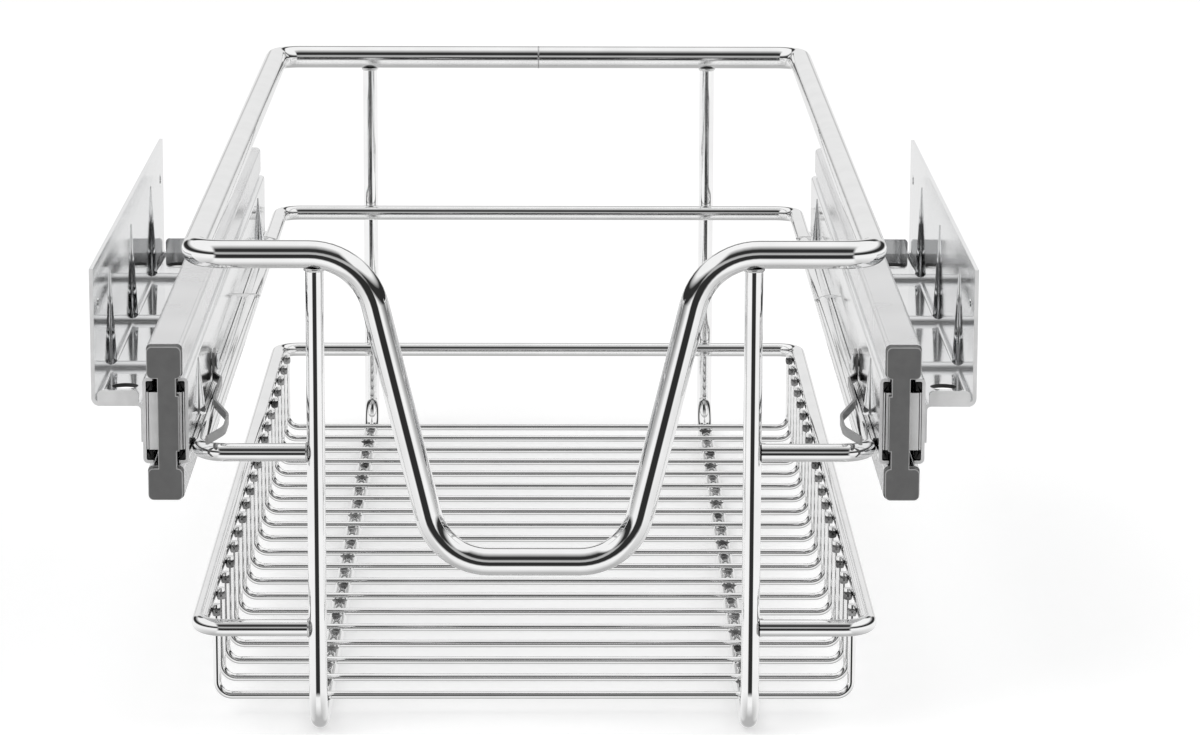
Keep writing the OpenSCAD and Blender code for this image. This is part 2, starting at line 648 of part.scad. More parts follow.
// Lever: a tab on the pivot rivet and a spring strip that bows in for the finger.
module release_lever(s) color("silver") on_side(s) {
    tab_x = drawer_face_x - slide_gap - lever_t / 2;
    rest_x = drawer_face_x - lever_stand;
    bow_x = drawer_face_x - lever_bow;
    tab_y = pivot_y - lever_tab_len / 2;
    ramp_y = front_y + lever_bow_back;
    bow_y = ramp_y - lever_bow_ramp;
    strip_z = lever_z - lever_strip_h / 2;
    translate([0, 0, strip_z])
        strip([[tab_x, tab_y + lever_tab_len], [tab_x, tab_y], [rest_x, tab_y - lever_step],
               [rest_x, ramp_y], [bow_x, bow_y], [bow_x, bow_y - lever_bow_flat],
               [drawer_face_x - lever_tip_stand, front_y - lever_tip_lead]],
              [lever_step_r, lever_step_r, lever_ramp_r, lever_bow_r, lever_tip_r],
              lever_t, lever_strip_h);
    difference() {
        translate([tab_x - lever_t / 2, tab_y, strip_z])
            cube([lever_t, lever_tab_len, pivot_z + lever_tab_top - strip_z]);
        translate([tab_x, pivot_y, pivot_z]) x_pin(pivot_d + 2 * pin_gap, -lever_t, lever_t);
    }
}

// The two pivot rivets, flush inside the drawer members and headed over the levers.
module lever_rivets() color("silver") for (s = SIDES) on_side(s) translate([0, pivot_y, pivot_z]) {
    seat_x = drawer_face_x - 2 * slide_gap - lever_t;
    x_pin(pivot_d, seat_x, drawer_face_x + member_t);
    x_pin(pivot_head_d, seat_x - pivot_head_t, seat_x);
}

module side_part(s, p) {
    if (p == "side_bracket") side_bracket(s);
    if (p == "cabinet_member") cabinet_member(s);
    if (p == "outer_stop") member_stop(s, false);
    if (p == "outer_ball_cage") ball_cage(s, false);
    if (p == "outer_balls") balls(s, false);
    if (p == "middle_profile") middle_profile(s);
    if (p == "outer_rail") rail(s, false);
    if (p == "inner_rail") rail(s, true);
    if (p == "rail_rivets") rail_rivets(s);
    if (p == "front_end_cap") front_end_cap(s);
    if (p == "rear_end_cap") rear_end_cap(s);
    if (p == "inner_ball_cage") ball_cage(s, true);
    if (p == "inner_balls") balls(s, true);
    if (p == "drawer_member") drawer_member(s);
    if (p == "inner_stop") member_stop(s, true);
    if (p == "release_lever") release_lever(s);
}

top_loop();
middle_loop();
tray_rim();
support_wire("left");  // left_support_wire
support_wire("right");  // right_support_wire
bracket_rivets();
lever_rivets();
for (i = [1 : cross_count]) cross_wire(i);
for (s = SIDES, p = SIDE_PARTS) side_part(s, p);
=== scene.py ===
"""A chromed pull-out wire basket on two ball slides, dressed over its solid model."""
import json
import math

import bpy
from mathutils import Matrix, Vector

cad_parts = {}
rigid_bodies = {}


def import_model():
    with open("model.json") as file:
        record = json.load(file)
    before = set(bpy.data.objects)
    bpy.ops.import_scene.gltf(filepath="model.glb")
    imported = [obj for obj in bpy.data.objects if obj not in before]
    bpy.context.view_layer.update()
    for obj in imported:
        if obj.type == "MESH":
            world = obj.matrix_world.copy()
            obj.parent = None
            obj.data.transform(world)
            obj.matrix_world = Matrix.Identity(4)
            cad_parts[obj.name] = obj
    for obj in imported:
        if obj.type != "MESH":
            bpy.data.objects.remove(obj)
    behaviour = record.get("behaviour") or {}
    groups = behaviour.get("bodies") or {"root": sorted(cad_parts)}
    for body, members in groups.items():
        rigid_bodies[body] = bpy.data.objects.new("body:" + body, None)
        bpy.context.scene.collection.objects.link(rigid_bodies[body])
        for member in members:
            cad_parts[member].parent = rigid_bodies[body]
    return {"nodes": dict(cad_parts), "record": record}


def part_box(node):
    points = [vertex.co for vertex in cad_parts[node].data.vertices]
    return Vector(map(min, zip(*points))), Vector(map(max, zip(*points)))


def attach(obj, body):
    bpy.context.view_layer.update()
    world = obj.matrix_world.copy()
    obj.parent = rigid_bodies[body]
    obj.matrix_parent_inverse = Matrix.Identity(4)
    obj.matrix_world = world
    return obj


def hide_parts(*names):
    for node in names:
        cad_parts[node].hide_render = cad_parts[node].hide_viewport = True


for leftover in list(bpy.data.objects):
    bpy.data.objects.remove(leftover)
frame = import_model()
bpy.context.view_layer.update()

# ---- Sizes, in metres, read from the frame ----

MM = 0.001
X, Y, Z = 0, 1, 2
SIDES = ("left", "right")
SIGNS = (-1, 1)
CROSS_WIRES = sorted(name for name in frame["nodes"] if name.startswith("cross_wire_"))


def middle(node, axis):
    low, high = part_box(node)
    return (low[axis] + high[axis]) / 2


def extent(node, axis):
    low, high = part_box(node)
    return high[axis] - low[axis]


SUPPORT_ROD = extent("right_support_wire", X)
RIM_ROD = extent("tray_rim", Z)
MIDDLE_ROD = extent("middle_loop", Z)
CROSS_ROD = extent(CROSS_WIRES[0], Y)
FRONT_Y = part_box("right_support_wire")[0][Y] + SUPPORT_ROD / 2
REAR_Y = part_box("right_support_wire")[1][Y] - SUPPORT_ROD / 2
TOP_ROD = 2 * (FRONT_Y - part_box("top_loop")[0][Y])
SUPPORT_X = middle("right_support_wire", X)
MIDDLE_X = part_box("middle_loop")[1][X] - MIDDLE_ROD / 2
MIDDLE_Z = middle("middle_loop", Z)
RIM_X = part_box("tray_rim")[1][X] - RIM_ROD / 2
RIM_Z = middle("tray_rim", Z)
TOP_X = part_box("top_loop")[1][X] - TOP_ROD / 2
TOP_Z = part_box("top_loop")[1][Z] - TOP_ROD / 2

# Bends of the wires, on their centre lines.
TOP_CORNER_R = 9 * MM
LOOP_CORNER_R = 8 * MM
SUPPORT_BEND_R = 12 * MM
CROSS_BEND_R = 4.5 * MM

# The handle's dip in the front bar: its two bends on each side, and its legs' lean off upright.
DIP_TOP_R = 20 * MM
DIP_BOTTOM_R = 18.7 * MM
DIP_CORNER_X = 28.2 * MM
DIP_LEAN = math.radians(13.6)
DIP_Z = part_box("top_loop")[0][Z] + TOP_ROD / 2

THICK_ROD_SIDES = 40
THIN_ROD_SIDES = 24
BEND_STEP = math.radians(6)

# ---- Camera, in front of the object and a little above it ----

PICTURE_W = 1200
FOCAL_PIXELS = 4602.3
SENSOR_W = 36
CAMERA_AT = Vector((4.96, -1548.71, 391.47)) * MM
# Turns of the camera, in radians, and the nearest and farthest that it sees, in metres.
CAMERA_PITCH = 0.20452
CAMERA_YAW = 0.01087
CAMERA_ROLL = 0.0033
CAMERA_NEAR = 0.05
CAMERA_FAR = 50


def make_camera():
    forward = Vector((math.sin(CAMERA_YAW) * math.cos(CAMERA_PITCH),
                      math.cos(CAMERA_YAW) * math.cos(CAMERA_PITCH), -math.sin(CAMERA_PITCH)))
    level = Vector((math.cos(CAMERA_YAW), -math.sin(CAMERA_YAW), 0))
    upright = level.cross(forward)
    right = level * math.cos(CAMERA_ROLL) + upright * math.sin(CAMERA_ROLL)
    up = upright * math.cos(CAMERA_ROLL) - level * math.sin(CAMERA_ROLL)
    data = bpy.data.cameras.new("camera")
    data.sensor_fit = "HORIZONTAL"
    data.sensor_width = SENSOR_W
    data.lens = FOCAL_PIXELS / PICTURE_W * SENSOR_W
    data.clip_start = CAMERA_NEAR
    data.clip_end = CAMERA_FAR
    camera = bpy.data.objects.new("camera", data)
    turn = Matrix((right, up, -forward)).transposed().to_4x4()
    camera.matrix_world = Matrix.Translation(CAMERA_AT) @ turn
    bpy.context.scene.collection.objects.link(camera)
    bpy.context.scene.camera = camera


make_camera()

# ---- Node helpers ----


def link(tree, source, target):
    tree.links.new(source, target)


def add_node(tree, kind, **settings):
    """A new node with its own settings, such as its data type."""
    node = tree.nodes.new(kind)
    for name, value in settings.items():
        setattr(node, name, value)
    return node


def feed(tree, socket, value):
    """Links a socket to the value where that is a socket too, and otherwise sets it."""
    if isinstance(value, bpy.types.NodeSocket):
        link(tree, value, socket)
    else:
        socket.default_value = value


def math_node(tree, operation, first, second=None):
    """The result of a sum on sockets and plain numbers."""
    node = add_node(tree, "ShaderNodeMath", operation=operation)
    feed(tree, node.inputs[0], first)
    if second is not None:
        feed(tree, node.inputs[1], second)
    return node.outputs[0]


def smooth_step(tree, value, low, high):
    """A node that rises smoothly from 0 to 1 as the value goes from low to high."""
    node = add_node(tree, "ShaderNodeMapRange", interpolation_type="SMOOTHSTEP")
    link(tree, value, node.inputs["Value"])
    node.inputs["From Min"].default_value = low
    node.inputs["From Max"].default_value = high
    return node


def ramp(tree, factor, stops):
    """A grey ramp through (place, level) stops."""
    node = add_node(tree, "ShaderNodeValToRGB")
    elements = node.color_ramp.elements
    while len(elements) < len(stops):
        elements.new(0.5)
    for element, (place, level) in zip(elements, stops):
        element.position = place
        element.color = (level, level, level, 1)
    link(tree, factor, node.inputs["Fac"])
    return node.outputs["Color"]


def blend_colours(tree, mask, first, second):
    """Goes from the first to the second with the mask; each is a grey level, a colour or a socket."""
    node = add_node(tree, "ShaderNodeMix", data_type="RGBA")
    link(tree, mask, node.inputs["Factor"])
    for label, colour in (("A", first), ("B", second)):
        if isinstance(colour, (int, float)):
            colour = (colour, colour, colour)
        feed(tree, node.inputs[label], (*colour, 1) if isinstance(colour, tuple) else colour)
    return node.outputs["Result"]


def deselect_all():
    bpy.ops.object.select_all(action="DESELECT")


# ---- Studio: pale floor, soft light, and a room that metal reflects ----

# The grey levels of what stands in the room.
WHITE = 1.0
PALE = 0.85
DIM = 0.5
DARK = 0.03
# The room by angle: straight ahead is 0, the ceiling 90, straight behind 180, the floor -90.
# Behind stands a pale wall with a thin dim line where it meets the table, which is white in front
# of the object and dim under it. The room ahead is dark, with a dim strip lamp above the camera. A
# soft box hangs over and behind the object, and a dark gap divides it from the wall.
ROOM_LEVELS = ((-180, DIM), (-177, PALE), (-160, PALE), (-140, DIM), (-90, DIM), (-50, WHITE), (-30, WHITE),
               (-20, DARK), (5, DARK), (10, DIM), (20, DIM), (30, DARK), (50, DARK), (90, WHITE),
               (140, WHITE), (145, DARK), (155, DARK), (160, PALE), (177, PALE), (180, DIM))
# The sides by the height of a direction, from straight down at 0 to straight up at 1: a white
# table that is dim under the object, a dark wall, a white screen.
SIDE_LEVELS = ((0, DIM), (0.35, WHITE), (0.5, WHITE), (0.55, DARK), (0.65, DARK), (0.75, WHITE), (1, WHITE))
# How far a direction points sideways where the sides begin to show, and where nothing else does.
SIDE_BEGINS = 0.35
SIDE_FULL = 0.5
# Up to the first of these heights of a direction, the room's levels go by its height above the
# horizon, and past the second by the angle round the X axis, so that uprights and crossbars both
# mirror even bands.
BAND_LOW = 0.3
BAND_HIGH = 0.6
# The even light that comes from all round on what isn't a reflection.
FILL_LEVEL = 0.80


def room_round_x(tree, split):
    """The room ahead, above, behind and below."""
    rise = split.outputs["Z"]
    ahead = math_node(tree, "MULTIPLY", split.outputs["Y"], -1.0)
    squared_height = math_node(tree, "MULTIPLY", rise, rise)
    level_reach = math_node(tree, "SQRT", math_node(tree, "SUBTRACT", 1.0, squared_height))
    share_ahead = math_node(tree, "DIVIDE", math_node(tree, "ABSOLUTE", ahead), level_reach)
    steep = smooth_step(tree, math_node(tree, "ABSOLUTE", rise), BAND_LOW, BAND_HIGH)
    link(tree, share_ahead, steep.inputs["To Min"])
    angle = math_node(tree, "ARCTAN2", math_node(tree, "MULTIPLY", rise, steep.outputs["Result"]), ahead)
    turn = math_node(tree, "ADD", math_node(tree, "DIVIDE", angle, 2 * math.pi), 0.5)
    return ramp(tree, turn, [((degrees + 180) / 360, level) for degrees, level in ROOM_LEVELS])


def reflected_room(tree):
    """The room's level in each direction, with its sides."""
    split = add_node(tree, "ShaderNodeSeparateXYZ")
    link(tree, add_node(tree, "ShaderNodeTexCoord").outputs["Generated"], split.inputs[0])
    front_back = room_round_x(tree, split)
    height = math_node(tree, "ADD", math_node(tree, "MULTIPLY", split.outputs["Z"], 0.5), 0.5)
    sides = ramp(tree, height, SIDE_LEVELS)
    sideways = math_node(tree, "ABSOLUTE", split.outputs["X"])
    share = smooth_step(tree, sideways, SIDE_BEGINS, SIDE_FULL)
    return blend_colours(tree, share.outputs["Result"], front_back, sides)


def make_world():
    """Even fill light, the room where metal reflects it, and plain white to the camera."""
    world = bpy.data.worlds.new("studio_room")
    bpy.context.scene.world = world
    world.use_nodes = True
    tree = world.node_tree
    tree.nodes.clear()
    path = add_node(tree, "ShaderNodeLightPath")
    lit = blend_colours(tree, path.outputs["Is Glossy Ray"], FILL_LEVEL, reflected_room(tree))
    backdrop = math_node(tree, "MAXIMUM", path.outputs["Is Camera Ray"], path.outputs["Is Transmission Ray"])
    background = add_node(tree, "ShaderNodeBackground")
    link(tree, blend_colours(tree, backdrop, lit, 1.0), background.inputs["Color"])
    output = add_node(tree, "ShaderNodeOutputWorld")
    link(tree, background.outputs[0], output.inputs["Surface"])


FLOOR_SIZE = 12
FLOOR_DROP = 0.2 * MM
FLOOR_GREY = 0.92
FLOOR_GLOW = 0.22


def floor_material():
    """Pale and matt, a little brighter to the camera, and clear where metal would reflect it."""
    material = bpy.data.materials.new("pale_floor")
    material.use_nodes = True
    tree = material.node_tree
    tree.nodes.clear()
    path = add_node(tree, "ShaderNodeLightPath")
    matt = add_node(tree, "ShaderNodeBsdfDiffuse")
    matt.inputs["Color"].default_value = (FLOOR_GREY, FLOOR_GREY, FLOOR_GREY, 1)
    glow = add_node(tree, "ShaderNodeEmission")
    strength = math_node(tree, "MULTIPLY", path.outputs["Is Camera Ray"], FLOOR_GLOW)
    link(tree, strength, glow.inputs["Strength"])
    lit = add_node(tree, "ShaderNodeAddShader")
    link(tree, matt.outputs[0], lit.inputs[0])
    link(tree, glow.outputs[0], lit.inputs[1])
    clear = add_node(tree, "ShaderNodeBsdfTransparent")
    mixed = add_node(tree, "ShaderNodeMixShader")
    link(tree, path.outputs["Is Glossy Ray"], mixed.inputs["Fac"])
    link(tree, lit.outputs[0], mixed.inputs[1])
    link(tree, clear.outputs[0], mixed.inputs[2])
    output = add_node(tree, "ShaderNodeOutputMaterial")
    link(tree, mixed.outputs[0], output.inputs["Surface"])
    return material


def make_floor():
    deselect_all()
    bpy.ops.mesh.primitive_plane_add(size=FLOOR_SIZE, location=(0, 0, -FLOOR_DROP))
    floor = bpy.context.object
    floor.name = "floor"
    floor.data.materials.append(floor_material())


# Each lamp's place and size, in metres, and its power, in watts.
LAMPS = {"key_lamp": ((-1.4, -1.6, 2.2), 1.6, 14), "fill_lamp": ((1.8, -0.6, 1.8), 1.8, 7)}


def make_soft_lamp(name, place, size, power):
    """A large square lamp that faces the object's middle."""
    data = bpy.data.lights.new(name, "AREA")
    data.size = size
    data.energy = power
    lamp = bpy.data.objects.new(name, data)
    lamp.location = place
    lamp.rotation_euler = (-Vector(place)).to_track_quat("-Z", "Y").to_euler()
    lamp.visible_glossy = False
    bpy.context.scene.collection.objects.link(lamp)


make_world()
make_floor()
for name, (place, size, power) in LAMPS.items():
    make_soft_lamp(name, place, size, power)
bpy.context.scene.view_settings.view_transform = "Standard"

# ---- Shared surface effects, as node groups ----


def new_group(name, inputs, outputs):
    """An empty node group; inputs are pairs of a name and a default, outputs are names."""
    group = bpy.data.node_groups.new(name, "ShaderNodeTree")
    for label, value in inputs:
        socket = group.interface.new_socket(label, in_out="INPUT", socket_type="NodeSocketFloat")
        socket.default_value = value
    for label in outputs:
        group.interface.new_socket(label, in_out="OUTPUT", socket_type="NodeSocketFloat")
    return group, add_node(group, "NodeGroupInput"), add_node(group, "NodeGroupOutput")


def group_noise(group, scale, detail, vector=None):
    """A noise on Object coordinates, or on the given vector."""
    noise = add_node(group, "ShaderNodeTexNoise")
    noise.inputs["Detail"].default_value = detail
    if vector is None:
        vector = add_node(group, "ShaderNodeTexCoord").outputs["Object"]
    link(group, vector, noise.inputs["Vector"])
    feed(group, noise.inputs["Scale"], scale)
    return noise.outputs["Fac"]


# The stretch of the noise that goes from clear film to full cloud.
CLOUD_BEGINS = 0.35
CLOUD_FULL = 0.65


def make_haze_group():
    """Cloudy film on plated metal: a mask of clouds and a roughness between two values."""
    group, source, sink = new_group("plating_haze", (("Cloud Scale", 40), ("Low Roughness", 0.04),
                                                     ("High Roughness", 0.1)), ("Cloud", "Roughness"))
    sharp = add_node(group, "ShaderNodeMapRange")
    sharp.inputs["From Min"].default_value = CLOUD_BEGINS
    sharp.inputs["From Max"].default_value = CLOUD_FULL
    link(group, group_noise(group, source.outputs["Cloud Scale"], detail=4), sharp.inputs["Value"])
    link(group, sharp.outputs["Result"], sink.inputs["Cloud"])
    rough = add_node(group, "ShaderNodeMapRange")
    link(group, sharp.outputs["Result"], rough.inputs["Value"])
    link(group, source.outputs["Low Roughness"], rough.inputs["To Min"])
    link(group, source.outputs["High Roughness"], rough.inputs["To Max"])
    link(group, rough.outputs["Result"], sink.inputs["Roughness"])
    return group


def make_draw_lines_group():
    """Fine lines that run along Y, as rolling and drawing leave on sheet and profile."""
    group, source, sink = new_group("draw_lines", (("Line Scale", 1500), ("Stretch", 0.01)), ("Lines",))
    squeeze = add_node(group, "ShaderNodeCombineXYZ")
    squeeze.inputs["X"].default_value = 1
    squeeze.inputs["Z"].default_value = 1
    link(group, source.outputs["Stretch"], squeeze.inputs["Y"])
    scaled = add_node(group, "ShaderNodeVectorMath", operation="MULTIPLY")
    link(group, add_node(group, "ShaderNodeTexCoord").outputs["Object"], scaled.inputs[0])
    link(group, squeeze.outputs[0], scaled.inputs[1])
    lines = group_noise(group, source.outputs["Line Scale"], detail=2, vector=scaled.outputs[0])
    link(group, lines, sink.inputs["Lines"])
    return group


MOTTLE_SCALE = 350


def make_grain_group():
    """Moulded grain: a height of fine pits and a soft mottling."""
    group, source, sink = new_group("moulded_grain", (("Grain Scale", 2500),), ("Grain", "Mottle"))
    link(group, group_noise(group, source.outputs["Grain Scale"], detail=3), sink.inputs["Grain"])
    link(group, group_noise(group, MOTTLE_SCALE, detail=3), sink.inputs["Mottle"])
    return group


HAZE = make_haze_group()
DRAW_LINES = make_draw_lines_group()
GRAIN = make_grain_group()

# ---- Materials ----

# How many clouds, waves or lines a metre of each finish carries, and the height of its relief.
CHROME_CLOUDS = 60
CHROME_WAVES = 140
SHEET_CLOUDS = 25
SHEET_LINES = 900
SHEARED_CLOUDS = 220
METAL_RELIEF = 0.02 * MM
PLASTIC_RELIEF = 0.03 * MM
SHEARED_METALLIC = 0.3
SHEARED_RELIEF_SHARE = 0.1
PLASTIC_RELIEF_SHARE = 0.25


def new_material(name):
    """A material with a Principled shader; returns the material, its tree and the shader."""
    material = bpy.data.materials.new(name)
    material.use_nodes = True
    tree = material.node_tree
    return material, tree, tree.nodes["Principled BSDF"]


def use_group(tree, group, **values):
    """A group's node; each value is named after the input that it sets."""
    node = add_node(tree, "ShaderNodeGroup", node_tree=group)
    for name, value in values.items():
        node.inputs[name.replace("_", " ").title()].default_value = value
    return node


def bump(tree, shader, height, share, relief):
    node = add_node(tree, "ShaderNodeBump")
    node.inputs["Strength"].default_value = share
    node.inputs["Distance"].default_value = relief
    link(tree, height, node.inputs["Height"])
    link(tree, node.outputs["Normal"], shader.inputs["Normal"])


def hazy_metal(name, colours, rough, clouds):
    """Metal whose colour and roughness go between two values with a cloudy film."""
    material, tree, shader = new_material(name)
    shader.inputs["Metallic"].default_value = 1
    haze = use_group(tree, HAZE, cloud_scale=clouds, low_roughness=rough[0], high_roughness=rough[1])
    link(tree, haze.outputs["Roughness"], shader.inputs["Roughness"])
    link(tree, blend_colours(tree, haze.outputs["Cloud"], *colours), shader.inputs["Base Color"])
    return material, tree, shader


def chrome(name, greys, rough, ripple):
    """Bright plating over drawn wire: a faint haze and long ripples."""
    material, tree, shader = hazy_metal(name, greys, rough, CHROME_CLOUDS)
    waves = use_group(tree, HAZE, cloud_scale=CHROME_WAVES)
    bump(tree, shader, waves.outputs["Cloud"], ripple, METAL_RELIEF)
    return material


def plated_sheet(name, colours, rough, line_depth):
    """Plated steel sheet or drawn profile, with lines along the slide."""
    material, tree, shader = hazy_metal(name, colours, rough, SHEET_CLOUDS)
    lines = use_group(tree, DRAW_LINES, line_scale=SHEET_LINES)
    bump(tree, shader, lines.outputs["Lines"], line_depth, METAL_RELIEF)
    return material


def sheared_steel(name, greys, rough):
    """Matt grey of sheet where it was cut or pressed up."""
    material, tree, shader = new_material(name)
    shader.inputs["Metallic"].default_value = SHEARED_METALLIC
    shader.inputs["Roughness"].default_value = rough
    haze = use_group(tree, HAZE, cloud_scale=SHEARED_CLOUDS)
    link(tree, blend_colours(tree, haze.outputs["Cloud"], *greys), shader.inputs["Base Color"])
    bump(tree, shader, haze.outputs["Cloud"], SHEARED_RELIEF_SHARE, METAL_RELIEF)
    return material


def moulded_plastic(name, greys, rough):
    """Moulded plastic with a fine grain."""
    material, tree, shader = new_material(name)
    shader.inputs["Roughness"].default_value = rough
    grain = use_group(tree, GRAIN)
    link(tree, blend_colours(tree, grain.outputs["Mottle"], *greys), shader.inputs["Base Color"])
    bump(tree, shader, grain.outputs["Grain"], PLASTIC_RELIEF_SHARE, PLASTIC_RELIEF)
    return material


# The record's material slots.
MATERIALS = {
    "chrome_wire": chrome("bright_chrome", greys=(0.86, 0.92), rough=(0.03, 0.06), ripple=0.06),
    "zinc_plated_sheet": plated_sheet("bright_zinc_sheet",
                                      colours=((0.84, 0.845, 0.85), (0.91, 0.915, 0.92)),
                                      rough=(0.05, 0.11), line_depth=0.06),
    "slide_profile": plated_sheet("satin_profile", colours=((0.84, 0.84, 0.845), (0.89, 0.89, 0.895)),
                                  rough=(0.20, 0.28), line_depth=0.10),
    "grey_plastic": moulded_plastic("grey_nylon", greys=(0.096, 0.134), rough=0.50),
    "black_plastic": moulded_plastic("black_nylon", greys=(0.006, 0.010), rough=0.45),
    "steel_balls": chrome("polished_ball_steel", greys=(0.72, 0.80), rough=(0.03, 0.06), ripple=0.0),
    "rivets": plated_sheet("bright_rivet_steel", colours=((0.76, 0.77, 0.78), (0.86, 0.87, 0.88)),
                           rough=(0.34, 0.44), line_depth=0.05),
    "spring_steel": chrome("blued_spring_strip", greys=(0.24, 0.31), rough=(0.26, 0.34), ripple=0.04),
}
# Finishes of small areas within a slot.
WELD_CHROME = chrome("weld_chrome", greys=(0.45, 0.85), rough=(0.06, 0.20), ripple=0.5)
# Partly heat tint and partly painted shade: a dark weld finish that also stands in for the shadow and dark
# reflection where the wires cross.
BURNT_AND_SHADED_WELD = chrome("burnt_and_shaded_weld", greys=(0.07, 0.42), rough=(0.12, 0.30), ripple=0.5)
SHEARED_END = sheared_steel("sheared_end", greys=(0.74, 0.82), rough=0.5)
# Painted shade: near-black walls for the flange holes, standing in for the shade inside them.
SHADED_HOLE_WALL = sheared_steel("painted_shade_hole_wall", greys=(0.03, 0.06), rough=0.6)
# Painted highlight: a lighter grey on the end caps' rounded edges, standing in for the sheen that they
# catch.
NYLON_EDGE_HIGHLIGHT = moulded_plastic("painted_highlight_nylon_edge", greys=(0.30, 0.42), rough=0.40)
PRESSED_BEAD = plated_sheet("pressed_bead", colours=((0.80, 0.805, 0.81), (0.88, 0.885, 0.89)),
                            rough=(0.34, 0.44), line_depth=0.05)

SLOTS = {row["node"]: row["material_slot"] for row in frame["record"]["subparts"]}
BODIES = {node: body for body, nodes in frame["record"]["behaviour"]["bodies"].items() for node in nodes}


def dress_nodes():
    for name, node in frame["nodes"].items():
        for slot in node.material_slots:
            slot.material = MATERIALS[SLOTS[name]]


dress_nodes()

# ---- Modelling helpers ----

RING_MERGE = 0.01 * MM
ROD_SMOOTH = math.radians(40)


def activate(piece):
    deselect_all()
    piece.select_set(True)
    bpy.context.view_layer.objects.active = piece


def finish_piece(name, material, body, stands_for=()):
    """Names the active piece, puts its place in its mesh and lets it ride on its body."""
    piece = bpy.context.object
    piece.name = piece.data.name = name
    bpy.ops.object.transform_apply(location=True, rotation=True, scale=True)
    piece.data.materials.clear()
    piece.data.materials.append(material)
    if stands_for:
        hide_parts(*stands_for)
    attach(piece, body)
    return piece


def finish_basket_wire(name, stands_for=()):
    finish_piece(name, MATERIALS["chrome_wire"], "basket", stands_for)


def bent_wire(points, radii, rod, sides, closed=False):
    """A round wire from point to point, spun round each inner point at that point's radius."""
    points = [Vector(p) for p in points]
    deselect_all()
    along = (points[1] - points[0]).normalized()
    bpy.ops.mesh.primitive_circle_add(vertices=sides, radius=rod / 2, location=points[0],
                                      rotation=along.to_track_quat("Z", "Y").to_euler())
    bpy.ops.object.transform_apply(location=True, rotation=True, scale=True)
    bpy.ops.object.mode_set(mode="EDIT")
    bpy.ops.mesh.select_all(action="SELECT")
    place = points[0]
    for corner, after, radius in zip(points[1:-1], points[2:], radii):
        before = (corner - place).normalized()
        ahead = (after - corner).normalized()
        turn = before.angle(ahead)
        trim = radius * math.tan(turn / 2)
        run = corner - before * trim - place
        bpy.ops.mesh.extrude_region_move(TRANSFORM_OT_translate={"value": run})
        inwards = (ahead - before * ahead.dot(before)).normalized()
        centre = corner - before * trim + inwards * radius
        bpy.ops.mesh.spin(steps=max(2, round(turn / BEND_STEP)), angle=turn, center=centre,
                          axis=ahead.cross(before).normalized())
        place = corner + ahead * trim
    bpy.ops.mesh.extrude_region_move(TRANSFORM_OT_translate={"value": points[-1] - place})
    bpy.ops.mesh.select_all(action="SELECT")
    if closed:
        bpy.ops.mesh.remove_doubles(threshold=RING_MERGE)
    else:
        bpy.ops.mesh.fill_holes(sides=0)
    bpy.ops.mesh.normals_make_consistent(inside=False)
    bpy.ops.object.mode_set(mode="OBJECT")
    bpy.ops.object.shade_smooth_by_angle(angle=ROD_SMOOTH)


# ---- Basket wires ----


def make_top_loop():
    high_x = DIP_CORNER_X + (TOP_Z - DIP_Z) * math.tan(DIP_LEAN)
    bent_wire([(0, REAR_Y, TOP_Z), (TOP_X, REAR_Y, TOP_Z), (TOP_X, FRONT_Y, TOP_Z), (high_x, FRONT_Y, TOP_Z),
               (DIP_CORNER_X, FRONT_Y, DIP_Z), (-DIP_CORNER_X, FRONT_Y, DIP_Z), (-high_x, FRONT_Y, TOP_Z),
               (-TOP_X, FRONT_Y, TOP_Z), (-TOP_X, REAR_Y, TOP_Z), (0, REAR_Y, TOP_Z)],
              [TOP_CORNER_R, TOP_CORNER_R, DIP_TOP_R, DIP_BOTTOM_R, DIP_BOTTOM_R, DIP_TOP_R,
               TOP_CORNER_R, TOP_CORNER_R], TOP_ROD, THICK_ROD_SIDES, closed=True)
    finish_basket_wire("top_loop_rod", ["top_loop"])


def make_open_loop(node, half_x, z, rod):
    """A loop that is open at the front between the support wires."""
    end_x = SUPPORT_X + SUPPORT_ROD / 2
    back_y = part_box(node)[1][Y] - rod / 2
    bent_wire([(-end_x, FRONT_Y, z), (-half_x, FRONT_Y, z), (-half_x, back_y, z), (half_x, back_y, z),
               (half_x, FRONT_Y, z), (end_x, FRONT_Y, z)],
              [LOOP_CORNER_R] * 4, rod, THICK_ROD_SIDES)
    finish_basket_wire(node + "_wire", [node])


def make_support_wire(side):
    x = SUPPORT_X if side == "right" else -SUPPORT_X
    low_z = SUPPORT_ROD / 2
    bar_z = TOP_Z - TOP_ROD / 2
    bent_wire([(x, FRONT_Y, bar_z), (x, FRONT_Y, low_z), (x, REAR_Y, low_z), (x, REAR_Y, bar_z)],
              [SUPPORT_BEND_R] * 2, SUPPORT_ROD, THICK_ROD_SIDES)
    finish_basket_wire(side + "_support_rod", [side + "_support_wire"])


def make_cross_wire(node):
    low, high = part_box(node)
    leg_x = high[X] - CROSS_ROD / 2
    floor_z = low[Z] + CROSS_ROD / 2
    y = middle(node, Y)
    bent_wire([(-leg_x, y, high[Z]), (-leg_x, y, floor_z), (leg_x, y, floor_z), (leg_x, y, high[Z])],
              [CROSS_BEND_R] * 2, CROSS_ROD, THIN_ROD_SIDES)
    finish_basket_wire(node + "_rod", [node])


make_top_loop()
make_open_loop("middle_loop", MIDDLE_X, MIDDLE_Z, MIDDLE_ROD)
make_open_loop("tray_rim", RIM_X, RIM_Z, RIM_ROD)
for side in SIDES:
    make_support_wire(side)
for name in CROSS_WIRES:
    make_cross_wire(name)

# ---- Welds ----

